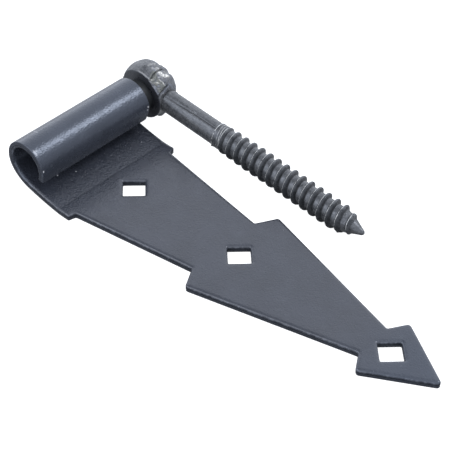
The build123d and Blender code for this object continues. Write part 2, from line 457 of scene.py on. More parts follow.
def build_strap():
    rings = strap_rings()
    verts, edge, shear, faces, top_loops, bottom_loops = rim_walls(rings)
    loops = [verts[loop][:, :2] for loop in top_loops]
    points, insets = fill_points(rings, loops)
    count, first = len(points), len(verts)
    top_ids = sum(top_loops, []) + list(range(first, first + count))
    bottom_ids = sum(bottom_loops, []) + list(range(first + count, first + 2 * count))
    faces += fill_faces(loops, points, top_ids, bottom_ids)
    top = columns(*points.T, SHEET_T / 2 - roll_drop(insets))
    bottom = columns(*points.T, -SHEET_T / 2)
    verts = np.concatenate([verts, top, bottom])
    edge = np.concatenate([edge, np.zeros(2 * count)])
    shear = np.concatenate([shear, np.zeros((2 * count, 3))])

    # slight waviness of rolled sheet, and draw marks round the barrel
    along, across, above = verts.T
    wave = 0.035 * fractal(columns(along / 38, across / 30, 0), octaves=3, seed=3)
    wave += 0.012 * fractal(columns(along / 9, across / 9, 5), octaves=2, seed=9)
    draw = fractal(columns(along / 4.5, across / 40, 9), octaves=2, seed=21)
    wave += smooth(24, 12, along) * 0.030 * draw
    places = sheet_point(along, across, above + wave)
    places[:, 2] = np.maximum(places[:, 2], BOT_Z - 0.03)
    root = smooth(23.5, 19.0, along) * smooth(-14, 0, along)
    attributes = {"edge": edge, "shear": shear, "root": root, "flat": verts}
    return make_mesh("strap_leaf_visual", places, faces, attributes)


# ---------------------------------------------------------------------------
# Pintle pin: turned about Y, with a lead-in and a spigot that enters the ball
# ---------------------------------------------------------------------------
PIN_R = 7.83
SPIGOT_R = 5.0
PIN_SIDES = 144
# radius, y
PIN_PROFILE = [
    (0.6, -13.8), (2.6, -13.79), (4.3, -13.78), (5.0, -13.72), (5.4, -13.58), (5.75, -13.35),
    (6.0, -13.1),
    *[(6.0 + t * 1.68, -13.1 + t * 2.05) for t in np.linspace(0, 1, 6)[1:]],
    (7.76, -10.9), (7.80, -10.75), (PIN_R, -10.5),
    *[(PIN_R, y) for y in np.arange(-9.5, 37.2, 1.0)],
    (PIN_R, 37.55), (7.79, 37.75), (7.70, 37.88), (7.55, 37.955), (7.2, 37.97), (5.2, 37.97),
    (SPIGOT_R, PIN_FACE_Y), (SPIGOT_R, 39.5), (SPIGOT_R, 43.0), (4.4, 43.6), (2.5, 43.6),
    (0.6, 43.6),
]


def build_pin():
    angle = circle(PIN_SIDES)
    rows = [columns(radius * np.sin(angle), y, radius * np.cos(angle)) for radius, y in PIN_PROFILE]
    hubs = [[0, PIN_PROFILE[0][1], 0], [0, PIN_PROFILE[-1][1], 0]]
    verts = np.concatenate([*rows, hubs])
    last = (len(rows) - 1) * PIN_SIDES
    faces = tube_faces(len(rows), PIN_SIDES)
    faces += end_caps(hub=last + PIN_SIDES, first=0, last=last, count=PIN_SIDES)
    # the turned body is slightly uneven
    dents = np.abs(fractal(verts / np.array([6.0, 9.0, 6.0]), octaves=3, seed=41))
    on_body = np.hypot(verts[:, 0], verts[:, 2]) > 7.5
    verts[:, ::2] *= (1 + np.where(on_body, -0.0008 - 0.0016 * dents, 0))[:, None]
    radius = np.hypot(verts[:, 0], verts[:, 2])
    wear = smooth(-8.0, -11.0, verts[:, 1]) * smooth(5.0, 7.2, radius)
    return make_mesh("pintle_pin_visual", verts, faces, {"edge": wear})


# ---------------------------------------------------------------------------
# Ball head: forged ball with a stop face, a ground patch and laps
# ---------------------------------------------------------------------------
# angle in degrees from the camera's right towards its down, extra radius of the outline
OUTLINE = (
    (-180, -0.30), (-151.6, -0.39), (-139.5, 0.04), (-127.6, 0.30), (-115.8, 0.60),
    (-104.0, 0.72), (-92.3, 0.82), (-86.5, 0.62), (-80.7, 0.40), (-74.9, 0.20), (-69.1, -0.18),
    (-63.4, -0.62), (-57.7, -0.40), (-51.9, -0.25), (-46.2, -0.08), (-40.5, -0.30),
    (-34.8, -0.72), (-29.0, -0.03), (-23.3, 0.18), (-17.5, 0.30), (-11.7, 0.36), (-5.9, 0.58),
    (-0.1, 0.65), (20, 0.6), (45, 0.9), (58, 1.4), (62, 1.6), (66.6, 1.2), (72, 0.1),
    (78, -0.35), (82.8, -0.6), (91.6, -0.85), (115, -0.5), (150, -0.2), (180, -0.30),
)
# larger flats: normal, distance from the ball's centre, blend
FLATS = (
    ((0.665, -0.12, 0.742), 12.28, 0.10),
    ((0.56, 0.30, 0.77), 12.42, 0.10),
    ((0.03, 0.05, -1.0), 11.25, 0.3),
)
COLLAR_CENTRE = np.array([0.1, 39.2, 0.0])
COLLAR_RADII = np.array([11.75, 6.8, 11.75])

# Paths in the plane through the ball's centre that faces the camera: (right, down)
LAP_A = (
    (6.65, -8.98), (5.37, -8.38), (3.80, -7.47), (2.80, -6.19), (1.94, -4.76), (0.95, -3.48),
)
LAP_B = (
    (9.36, -1.34), (8.50, -0.63), (7.08, 1.37), (5.94, 2.94), (5.37, 4.08), (5.08, 5.79),
    (5.37, 7.50),
)
LAP_C = ((2.51, -1.06), (3.94, -0.77), (4.80, 1.80), (5.37, 3.79))
# path, width, height
RIDGES = (
    (((4.90, -7.60), (6.40, -6.60), (7.50, -5.50)), 0.75, 1.15),
    (((8.30, -5.90), (9.30, -5.40)), 0.62, 1.10),
    (((5.40, -7.00), (7.60, -5.20)), 0.26, 0.60),
    (((4.10, -2.60), (5.30, -2.20)), 0.34, 0.65),
    (((5.40, -4.20), (7.10, -2.70), (8.22, -1.10)), 0.20, 0.65),
    (((1.00, -4.15), (2.20, -3.90)), 0.28, 0.50),
    (((5.10, -5.10), (6.40, -4.90)), 0.26, 0.45),
    (((2.30, -9.10), (4.80, -8.50)), 0.42, 0.38),
    (((3.90, -9.30), (5.80, -8.90)), 0.40, 0.42),
    (((0.60, -10.60), (3.40, -11.30)), 0.45, 0.30),
    (((7.60, -7.60), (9.10, -6.90)), 0.40, 0.36),
    (((5.50, 11.10), (6.80, 10.30)), 0.50, 0.50),
)
GROUND = (
    (0.9, -4.0), (1.3, -6.5), (2.4, -8.0), (4.2, -7.4), (4.6, -5.2), (5.4, -4.2), (7.1, -2.6),
    (8.4, -0.7), (6.6, 2.0), (5.4, 2.2), (4.3, -1.0), (2.4, -2.0),
)


def facing_coords(points):
    """Millimetres right and down, projected onto the facing plane through the ball's centre."""
    ray = points - CAMERA_AT
    centre = BALL_CENTRE - CAMERA_AT
    scale = (centre @ CAMERA_AHEAD) / (ray @ CAMERA_AHEAD)
    return [(ray @ axis) * scale - centre @ axis for axis in (CAMERA_RIGHT, CAMERA_DOWN)]


def path_distance(points, path):
    """Distance of flat points from a polyline, and the share of the way along it."""
    nearest = np.full(len(points), 1e9)
    along = np.zeros(len(points))
    path = np.array(path, float)
    for i in range(len(path) - 1):
        start, side = path[i], path[i + 1] - path[i]
        share = np.clip((points - start) @ side / (side @ side), 0, 1)
        distance = np.linalg.norm(points - (start + share[:, None] * side), axis=1)
        closer = distance < nearest
        nearest[closer] = distance[closer]
        along[closer] = (i + share[closer]) / (len(path) - 1)
    return nearest, along


def in_polygon(x, y, polygon):
    inside = np.zeros(len(x), bool)
    for (x0, y0), (x1, y1) in zip(polygon, polygon[1:] + polygon[:1]):
        inside ^= ((y0 > y) != (y1 > y)) & (x < (x1 - x0) * (y - y0) / (y1 - y0 + 1e-12) + x0)
    return inside


def flatten(radius, rays, normal, distance, blend):
    """Cut a soft-edged flat across the ball."""
    cos = rays @ normal
    plane = distance / np.maximum(cos, 0.2)
    return np.where(cos > 0.3, soft_min(radius, plane, blend), radius)


def ball_form(rays):
    """Radius along each ray, before surface detail."""
    depth = rays @ CAMERA_AHEAD
    bearing = np.degrees(np.arctan2(rays @ CAMERA_DOWN, rays @ CAMERA_RIGHT))
    # the outline as the camera sees it, fading round the ball
    radius = np.full(len(rays), BALL_R)
    radius += interp(bearing, OUTLINE) * bell(depth + 0.03, width=0.5)

    # collar next to the stop face: where each ray leaves an ellipsoid round the pin's axis
    offset, slope = (BALL_CENTRE - COLLAR_CENTRE) / COLLAR_RADII, rays / COLLAR_RADII
    square, linear = (slope**2).sum(1), (slope * offset).sum(1)
    constant = (offset**2).sum() - 1
    collar = (-linear + np.sqrt(linear * linear - square * constant)) / square
    radius = -soft_min(-radius, -collar, blend=0.5)

    # shallow hammer flats, away from the visible outline and the stop face
    random = np.random.RandomState(7)
    normals = random.normal(size=(40, 3))
    normals /= np.linalg.norm(normals, axis=1)[:, None]
    depths = 0.10 + 0.16 * random.rand(40)
    for normal, cut in zip(normals, depths):
        if abs(normal @ CAMERA_AHEAD) >= 0.42 and normal[1] >= -0.10:
            radius = flatten(radius, rays, normal, BALL_R - cut, blend=0.12)
    for normal, distance, blend in FLATS:
        radius = flatten(radius, rays, unit(normal), distance, blend)
    return radius


def ball_surface(rays):
    """Points of the detailed ball and the attributes for its material."""
    radius = ball_form(rays)
    rough = BALL_CENTRE + rays * radius[:, None]
    right, down = facing_coords(rough)
    front = smooth(0.15, -0.12, rays @ CAMERA_AHEAD)  # the side that faces the camera
    ragged_right = right + 0.20 * noise(rough / 1.1, seed=61)
    ragged_down = down + 0.20 * noise(rough / 1.1, seed=62)
    ragged = columns(ragged_right, ragged_down)
    from_a, share_a = path_distance(ragged, LAP_A)
    from_b, share_b = path_distance(ragged, LAP_B)
    from_c, _ = path_distance(ragged, LAP_C)
    groove = 0.75 * bell(from_a, width=0.36) * (1 - 0.45 * share_a)
    groove += 0.80 * bell(from_b, width=0.36) * (1 - 0.4 * share_b)
    groove += 0.22 * bell(from_c, width=0.30)
    # the metal on one side of lap A stands over the other
    beside = smooth(-0.1, 0.4, from_a) * bell(from_a, width=1.5)
    over = ((ragged_right - 2.8) * 0.74 + (ragged_down + 6.2) * 0.68) < 0
    radius = radius + front * beside * np.where(over, 0.16, -0.10)
    ridge = np.zeros(len(rays))
    broken = 0.65 + 0.35 * noise(rough / 0.55, seed=73)
    for path, width, height in RIDGES:
        distance, _ = path_distance(ragged, path)
        ridge = np.maximum(ridge, height * bell(distance, width) * broken)
    ground = in_polygon(ragged_right, ragged_down, GROUND).astype(float) * front
    radius = radius + front * (0.55 * ridge - groove)

    # torn streaks on the ground patch, pitted scale all over
    streak = columns((right + 1.4 * down) / 0.5, (down - 0.8 * right) / 2.2, 0)
    radius = radius + ground * 0.10 * noise(streak, seed=71)
    radius = radius + 0.11 * fractal(rough / 2.6, octaves=3, seed=31)
    radius = radius + 0.050 * fractal(rough / 0.8, octaves=3, seed=33)
    rough_side = smooth(0.5, 3.5, right) * front
    pits = np.clip(noise(rough / 0.95, seed=77) - 0.45, 0, 1)
    radius = radius - (0.20 + 0.12 * rough_side) * pits
    # a sunk patch towards the top
    patch = bell(right + 0.5, width=1.3) * bell(down + 9.0, width=1.0)
    patch *= smooth(-0.2, 0.3, noise(rough / 0.8, seed=79)) * front
    radius = radius - 0.25 * patch

    # stop face, square to the pin
    to_face = (PIN_FACE_Y - BALL_CENTRE[1]) / np.minimum(rays[:, 1], -0.05)
    radius = np.where(rays[:, 1] < -0.2, soft_min(radius, to_face, blend=0.42), radius)
    points = BALL_CENTRE + rays * radius[:, None]
    # painted shade: the stop face is marked to be coloured dark
    face = smooth(PIN_FACE_Y + 0.30, PIN_FACE_Y + 0.08, points[:, 1])
    points[:, 1] = np.maximum(points[:, 1], PIN_FACE_Y + 0.015)

    lap = bell(from_a, width=0.34) * (1 - 0.4 * share_a) + bell(from_b, width=0.36)
    lap = np.clip(lap, 0, 1) * front
    # painted highlight: a light band on one stretch of the stop face's rim
    painted_rim_highlight = smooth(39.0, 38.5, points[:, 1]) * (1 - face) * front
    return points, {
        "ground": ground,
        "lap": np.clip(lap + 0.75 * patch, 0, 1),
        "high": np.clip(ridge * 1.3, 0, 1) * front,
        "scaly": rough_side * smooth(3.0, 0.5, down + 0.4 * right - 4.0),
        "face": face,
        "painted_rim_highlight": painted_rim_highlight * smooth(2.2, 0.6, right) * smooth(-5.0, -3.4, right),
    }


# seats for the pin's spigot, the shank and the screw's spigot:
# name, origin, axis, radius, start and end along the axis
SEATS = (
    ("cut_a", (0, 0, 0), (0, 1, 0), SPIGOT_R + 0.05, 36.0, 43.7),
    ("cut_b", SCREW_START, SCREW_AXIS, 5.285, 10.6, 22.0),
    ("cut_c", SCREW_START, SCREW_AXIS, 3.64, 6.8, 12.0),
)


def seat_cutter(name, origin, axis, radius, start, end, count=96):
    """Closed cylinder to be cut out of the ball."""
    origin, axis = np.array(origin), unit(axis)
    side = unit(np.cross(axis, (0.3, 0.2, 0.9)))
    angle = circle(count)
    ring = np.outer(np.cos(angle), side) + np.outer(np.sin(angle), np.cross(axis, side))
    centres = [origin + axis * start, origin + axis * end]
    verts = np.concatenate([centre + ring * radius for centre in centres] + [centres])
    faces = []
    for j in range(count):
        k = (j + 1) % count
        faces += [(j, k, count + k, count + j), (2 * count, k, j)]
        faces.append((2 * count + 1, count + j, count + k))
    return make_mesh(name, verts, faces)


def cut_seats(ball):
    cutters = [seat_cutter(*seat) for seat in SEATS]
    for cutter in cutters:
        modifier = ball.modifiers.new(cutter.name, "BOOLEAN")
        modifier.operation = "DIFFERENCE"
        modifier.solver = "EXACT"
        modifier.object = cutter
    bpy.context.view_layer.update()
    graph = bpy.context.evaluated_depsgraph_get()
    mesh = bpy.data.meshes.new_from_object(
        ball.evaluated_get(graph), preserve_all_data_layers=True, depsgraph=graph
    )
    ball.modifiers.clear()
    ball.data = mesh
    for cutter in cutters:
        bpy.data.objects.remove(cutter)
    mesh.polygons.foreach_set("use_smooth", [True] * len(mesh.polygons))
    # the seats are crisp against the forged skin
    work = bmesh.new()
    work.from_mesh(mesh)
    for edge in work.edges:
        if len(edge.link_faces) == 2 and edge.calc_face_angle(0) > math.radians(38):
            edge.smooth = False
    work.to_mesh(mesh)
    work.free()


def build_ball():
    sphere = bmesh.new()
    bmesh.ops.create_icosphere(sphere, subdivisions=7, radius=1.0)
    rays = np.array([vert.co[:] for vert in sphere.verts])
    faces = [tuple(vert.index for vert in face.verts) for face in sphere.faces]
    sphere.free()
    rays /= np.linalg.norm(rays, axis=1)[:, None]
    points, attributes = ball_surface(rays)
    ball = make_mesh("ball_head_visual", points, faces, attributes)
    cut_seats(ball)
    return ball


# ---------------------------------------------------------------------------
# Lag screw: rolled wood thread on a plain shank, cone point.
# "along" is the distance from SCREW_START, "angle" goes round the axis.
# ---------------------------------------------------------------------------
SCREW_SIDES = 160
PITCH = 4.83
CRESTS = (
    43.7, 47.6, 52.2, 56.9, 61.7, 66.5, 71.3, 76.0, 80.9, 85.7, 90.6, 95.3, 100.1, 104.9,
    109.9, 114.8, 119.9,
)
# along, radius
CREST_LINE = (
    (41.8, 5.6), (45.9, 5.6), (46.3, 5.98), (50.0, 6.22), (55.0, 6.27), (59.8, 6.42),
    (64.5, 6.49), (113.5, 6.45), (116.5, 5.75), (118.6, 5.00), (120.6, 4.1), (200, 3.2),
)
ROOT_LINE = (
    (41.5, 5.25), (46.2, 5.50), (48.5, 5.05), (53.5, 4.84), (58, 4.85), (112.5, 4.85),
    (116.5, 4.52), (118.7, 4.15), (120.5, 3.42), (125.9, 1.22), (126.25, 1.02), (126.5, 0.80),
    (126.7, 0.52), (126.82, 0.28), (126.9, 0.10),
)
POINT_STATIONS = (125.9, 126.05, 126.2, 126.33, 126.45, 126.56, 126.66, 126.75, 126.82, 126.88)
POINT_END = 126.9
# hidden shoulder and spigot inside the ball: along, radius
SPIGOT_STATIONS = (
    (10.66, 5.245), (10.63, 5.1), (10.63, 3.7), (10.6, 3.6), (7.4, 3.6), (7.0, 3.2),
)
# crease down the shank: along, angle in degrees; along, depth share
CREASE_LINE = (
    (12.0, -7.0), (14.5, -8.0), (22.7, -9.5), (26.3, -12.0), (30.8, -14.0), (36.1, -15.0),
    (42.0, -15.0),
)
CREASE_DEPTH = (
    (12, 0.30), (17, 0.55), (24, 0.90), (30, 1.0), (36, 0.95), (42.5, 0.9), (43, 0.0),
)
# angle zero points this way, made square to the axis
ZERO_WAY = np.array([0.0684, -0.6191, 0.7823])
SCREW_SIDE = unit(ZERO_WAY - SCREW_AXIS * (ZERO_WAY @ SCREW_AXIS))
SCREW_CROSS = np.cross(SCREW_AXIS, SCREW_SIDE)


def screw_points(along, angle, radius):
    along, angle, radius = columns(along, angle, radius).T[..., None]
    spoke = np.cos(angle) * SCREW_SIDE + np.sin(angle) * SCREW_CROSS
    return SCREW_START + SCREW_AXIS * along + spoke * radius


def thread_profile():
    """One pitch: offset from the crest, height of the ridge from 0 to 1."""
    offset = np.linspace(-PITCH / 2, PITCH / 2, 967)
    away = np.abs(offset)
    flanks = np.interp(away, [0, 0.40, 1.28, 2.42], [1, 0.99, 0.0, 0.0])
    land = np.where(away < 1.30, (1 - np.minimum(away / 1.30, 1) ** 2.6) ** 0.62, 0)
    raw = 0.5 * flanks + 0.5 * land
    kernel = np.exp(-0.5 * (np.linspace(-0.5, 0.5, 201) / 0.12) ** 2)
    kernel /= kernel.sum()
    padded = np.concatenate([raw[-101:-1], raw, raw[1:101]])
    height = np.convolve(padded, kernel, "same")[100:-100]
    return offset, (height - height.min()) / (height.max() - height.min())


def screw_surface(along, angle):
    """Radius at every point and the attributes for the screw's material."""
    turn = np.where(angle > math.pi, angle - 2 * math.pi, angle)
    # thread phase: whole numbers are crests
    crests = (CRESTS[0] - 4.0, *CRESTS, CRESTS[-1] + 5.4)
    phase = np.interp(along, crests, np.arange(-1.0, len(CRESTS) + 1)) - angle / (2 * math.pi)
    offset = (phase - np.round(phase)) * PITCH
    ridge = np.interp(offset, *thread_profile())
    ridge = ridge * smooth(121.3, 120.5, along - turn * 0.12) * smooth(45.6, 46.4, along)
    uneven = noise(columns(phase * 1.7, angle * 1.3, 0), seed=81)
    crest_r = interp(along, CREST_LINE) + 0.05 * uneven * smooth(44, 50, along)
    root_r = interp(along, ROOT_LINE)
    radius = root_r + np.maximum(crest_r - root_r, 0) * ridge

    # the rolled length starts with a small step and a fine false ridge
    step_at = 42.75 + 0.60 * np.sin(turn)
    false_at = 45.80 + 1.45 * np.sin(turn)
    step = smooth(step_at - 0.10, step_at + 0.06, along)
    start = smooth(47.6, 47.0, along)
    raised = np.maximum(radius, SHANK_R + 0.34 * smooth(47.3, 46.8, along))
    radius = SHANK_R * (1 - step) + raised * step * start + radius * step * (1 - start)
    lip = bell(along - step_at - 0.14, width=0.19)
    fin = bell(along - 43.3, width=0.30) * bell(turn - 1.38, width=0.16)
    radius = radius + 0.10 * lip + 0.55 * fin
    radius = radius - 0.20 * bell(along - false_at, width=0.17)
    radius = radius + 0.08 * bell(along - false_at - 0.42, width=0.16)

    # the last turns are torn where the point was pinched off
    torn = smooth(112.5, 115.0, along) * smooth(121.4, 120.2, along)
    tear = np.clip(noise(screw_points(along, angle, 5.0) / 0.8, seed=87), -0.6, 1)
    radius = radius + torn * (0.06 + 0.12 * ridge) * tear
    burr = bell(along - 115.6, width=0.5) * bell(turn + 1.25, width=0.22)
    burr += 0.7 * bell(along - 119.9, width=0.4) * bell(turn + 1.35, width=0.25)
    radius = radius + 0.55 * burr

    # dents across the crests, drawn streaks along the shank
    ring = columns(np.cos(angle) * 3, np.sin(angle) * 3, along)
    dents = fractal(ring * (1.2, 1.2, 1.1), octaves=3, seed=83)
    radius = radius + 0.045 * dents * smooth(43, 48, along) * smooth(126, 122, along)
    shank = smooth(43.2, 42.2, along)
    streaks = 0.040 * fractal(ring * (0.8, 0.8, 0.035), octaves=3, seed=85)
    streaks += 0.014 * fractal(ring * (2.4, 2.4, 0.06), octaves=2, seed=86)
    radius = radius + shank * streaks

    # a long drawing crease down the shank and a nick across it
    aside = (turn - np.radians(interp(along, CREASE_LINE))) * SHANK_R
    aside = aside + 0.10 * noise(columns(along / 1.5, 0, 0), seed=88)
    depth = interp(along, CREASE_DEPTH)
    crease = bell(aside, width=0.40) * depth * shank
    radius = radius - 0.22 * crease + 0.05 * bell(aside - 0.7, width=0.4) * depth * shank
    nick_away = np.hypot(along - 28.9, ((turn - math.radians(-18.0)) * SHANK_R) / 0.62)
    nick = bell(nick_away - 1.0, width=0.28)
    radius = radius + 0.14 * nick - 0.24 * bell(nick_away, width=0.62)

    # the ball's metal laps a little way up the shank
    reach = 0.5 * noise(columns(np.cos(angle) * 2, np.sin(angle) * 2, 0), seed=89)
    collar = bell(along - 12.6 - reach, width=0.45) * smooth(0.2, -0.6, turn)
    radius = radius + 0.22 * collar

    # the land's trailing corner takes the knocks; this light line, with the marks below, is bare
    # steel and painted highlight
    threaded = smooth(45.8, 46.6, along)
    crest = bell(offset + 0.48, width=0.19) * threaded * smooth(121.2, 120.4, along)
    crest = crest * (1 - 0.35 * smooth(117.5, 118.5, along))
    crest = crest * smooth(-1.25, -0.7, turn) * smooth(1.2, 0.6, turn)
    past_step = smooth(42.8, 43.4, along)
    for mark in (
        lip * smooth(41.5, 42.2, along),
        0.75 * bell(along - false_at - 0.42, width=0.17) * past_step,
        0.7 * bell(along - false_at + 0.75, width=0.14) * past_step,
        0.55 * nick,
        0.42 * collar,
    ):
        crest = np.maximum(crest, mark)
    # painted shade: the land behind each crest, on the lower side of the screw
    land = smooth(-0.62, -0.40, offset) * smooth(1.75, 1.25, offset) * threaded
    land = land * smooth(121.0, 120.0, along) * smooth(-0.95, -0.15, turn) * smooth(2.6, 1.5, turn)
    return radius, {
        "crest": crest,
        "valley": (1 - smooth(0.05, 0.6, ridge)) * threaded,
        "lead": crease,
        "land": land,
        "axis": columns(along, angle * 5.2, radius),
        "shank": shank,
    }


def build_screw():
    ring = circle(SCREW_SIDES)
    stations = [*np.arange(11.6, 42.0, 0.45), *np.arange(42.0, 125.85, 0.105), *POINT_STATIONS]
    along, angle = (grid.ravel() for grid in np.meshgrid(stations, ring, indexing="ij"))
    radius, attributes = screw_surface(along, angle)
    verts = [screw_points(along, angle, radius)]
    faces = tube_faces(len(stations), SCREW_SIDES)
    previous, base = 0, len(along)
    for station, spigot_r in SPIGOT_STATIONS:
        verts.append(screw_points(station, ring, spigot_r))
        for j in range(SCREW_SIDES):
            k = (j + 1) % SCREW_SIDES
            faces.append((base + j, base + k, previous + k, previous + j))
        previous = base
        base += SCREW_SIDES
    verts.append([SCREW_START + SCREW_AXIS * end for end in (SPIGOT_STATIONS[-1][0], POINT_END)])
    faces += end_caps(base, previous, (len(stations) - 1) * SCREW_SIDES, SCREW_SIDES)
    verts = np.concatenate(verts)
    hidden = len(verts) - len(along)
    for key, values in attributes.items():
        blank = np.zeros((hidden, *values.shape[1:]))
        attributes[key] = np.concatenate([values, blank])
    return make_mesh("lag_screw_visual", verts, faces, attributes)


# ---------------------------------------------------------------------------
# Node helpers
# ---------------------------------------------------------------------------
class Signal:
    """A node's output; arithmetic on it adds math nodes."""

    def __init__(self, tree, socket):
        self.tree, self.socket = tree, socket

    def __add__(self, other):
        return self.tree.math("ADD", self, other)

    def __radd__(self, other):
        return self.tree.math("ADD", other, self)

    def __sub__(self, other):
        return self.tree.math("SUBTRACT", self, other)

    def __rsub__(self, other):
        return self.tree.math("SUBTRACT", other, self)

    def __mul__(self, other):
        return self.tree.math("MULTIPLY", self, other)

    def __gt__(self, other):
        return self.tree.math("GREATER_THAN", self, other)

    def __lt__(self, other):
        return self.tree.math("LESS_THAN", self, other)

    def __abs__(self):
        return self.tree.math("ABSOLUTE", self)

    def max(self, other):
        return self.tree.math("MAXIMUM", self, other)

    def ramp(self, start, end, low=0.0, high=1.0):
        """Eased ramp from low at start to high at end."""
        inputs = {"Value": self, "From Min": start, "From Max": end, "To Min": low, "To Max": high}
        return self.tree.signal("MapRange", inputs, "Result", interpolation_type="SMOOTHSTEP")


class Tree:
    """Node tree of a material or world."""

    def __init__(self, owner):
        owner.use_nodes = True
        self.tree = owner.node_tree
        self.tree.nodes.clear()

    def plug(self, node, inputs):
        """Link signals to a node's inputs, or set their values."""
        for key, value in inputs.items():
            if isinstance(value, Signal):
                self.tree.links.new(value.socket, node.inputs[key])
            else:
                node.inputs[key].default_value = value

    def signal(self, kind, inputs=None, output=0, **settings):
        """Add a node and return one of its outputs."""
        node = self.tree.nodes.new("ShaderNode" + kind)
        for key, value in settings.items():
            setattr(node, key, value)
        self.plug(node, inputs or {})
        return Signal(self, node.outputs[output])

    def output(self, kind, surface):
        self.plug(self.tree.nodes.new("ShaderNodeOutput" + kind), {"Surface": surface})

    def math(self, kind, first, second=0.0):
        return self.signal("Math", {0: first, 1: second}, operation=kind)

    def vector_math(self, kind, first, second, output=0):
        return self.signal("VectorMath", {0: first, 1: second}, output, operation=kind)

    def mix(self, factor, first, second, kind="RGBA"):
        inputs = {"Factor": factor, "A": first, "B": second}
        return self.signal("Mix", inputs, "Result", data_type=kind)


class Shader(Tree):
    """A material around one Principled BSDF; sizes are in millimetres."""

    def __init__(self, name):
        self.material = bpy.data.materials.new(name)
        super().__init__(self.material)
        self.surface = self.tree.nodes.new("ShaderNodeBsdfPrincipled")
        self.output("Material", Signal(self, self.surface.outputs[0]))
        self.coord = self.signal("TexCoord", output="Object")

    def noise(self, size, detail=2.0, rough=0.5, coord=None, stretch=None):
        """Noise on the object, or on coordinates that are already in millimetres."""
        place = coord or self.coord
        if stretch is not None:
            place = self.vector_math("MULTIPLY", place, stretch)
        scale = 1.0 / (size * (1.0 if coord else MM))
        inputs = {"Vector": place, "Scale": scale, "Detail": detail, "Roughness": rough}
        return self.signal("TexNoise", inputs, "Fac")

    def attribute(self, name, output="Fac"):
        return self.signal("Attribute", output=output, attribute_name=name)

    def split(self, vector):
        node = self.signal("SeparateXYZ", {0: vector}).socket.node
        return [Signal(self, socket) for socket in node.outputs]

    def bumps(self, *layers):
        """Chain of bumps from (height, depth) layers."""
        normal = None
        for height, depth in layers:
            inputs = {"Strength": 1.0, "Distance": depth * MM, "Height": height}
            if normal:
                inputs["Normal"] = normal
            normal = self.signal("Bump", inputs, "Normal")
        return normal

    def finish(self, inputs):
        self.plug(self.surface, inputs)
        return self.material


def rgb(red, green, blue):
    return (red, green, blue, 1.0)


# ---------------------------------------------------------------------------
# Materials
# ---------------------------------------------------------------------------
COAT = (0.0177, 0.0200, 0.0264)
COOL_GLOSS = rgb(0.95, 1.0, 1.10)
NEAR_BLACK = rgb(0.006, 0.006, 0.007)


def barrel_along(degrees):
    """Unrolled position of an angle on the barrel."""
    return ROLL_START - sum(ARC_LENGTHS[:3]) - EYE_R * (ARCS[3][2] - math.radians(degrees))


# knocks through the coat, and painted glare on the barrel: centre along and across, half sizes,
# tilt in degrees, face (1 top or bore, -1 underside or outside of the barrel), brightness
CHIPS_AND_GLARE = (
    (barrel_along(10.0), -31.70, 0.42, 0.30, 20, -1, 1.0),
    (barrel_along(109.5), -22.40, 1.65, 0.13, -4, -1, 0.55),
    # painted highlight, not knocks, in these two rows: glare and bright grain where the barrel's
    # gloss streak meets its near end
    (barrel_along(57.0), -31.35, 1.40, 0.55, 0, -1, 0.34),
    (barrel_along(60.0), -30.40, 0.45, 0.70, 20, -1, 0.22),
    (barrel_along(11.0), 31.50, 0.42, 0.75, 25, -1, 0.50),
    (barrel_along(5.0), 30.90, 0.30, 0.45, -10, -1, 0.40),
    (4.75, -19.50, 0.32, 0.30, 0, 1, 1.0),
    (8.00, -11.50, 0.26, 0.26, 0, 1, 0.8),
)


def chip_and_glare_mask(shader, root, along, across, above):
    """Pinhead chips, larger near the roll, and the knocks and painted glare listed in the table
    above.
    """
    inputs = {"Vector": shader.coord, "Scale": 1.0 / (4.6 * MM)}
    cell = shader.signal("TexVoronoi", inputs, "Distance")
    pinheads = cell < root * 0.026 + 0.014
    chip_and_glare = pinheads * (shader.noise(size=9.0, detail=1.0) > 0.50) * 0.75
    ragged = (shader.noise(size=0.35, detail=2.0, rough=0.6) - 0.5) * 1.6
    for centre, centre_across, half_long, half_wide, tilt, side, level in CHIPS_AND_GLARE:
        cos, sin = math.cos(math.radians(tilt)), math.sin(math.radians(tilt))
        shift, shift_across = along - centre, across - centre_across
        long = shift * (cos / half_long) + shift_across * (sin / half_long)
        wide = shift_across * (cos / half_wide) - shift * (sin / half_wide)
        away = shader.math("SQRT", long * long + wide * wide)
        mark = (away + ragged).ramp(start=1.15, end=0.75)
        face = above > 0.0 if side > 0 else above < 0.0
        chip_and_glare = chip_and_glare.max(mark * face * level)
    return chip_and_glare


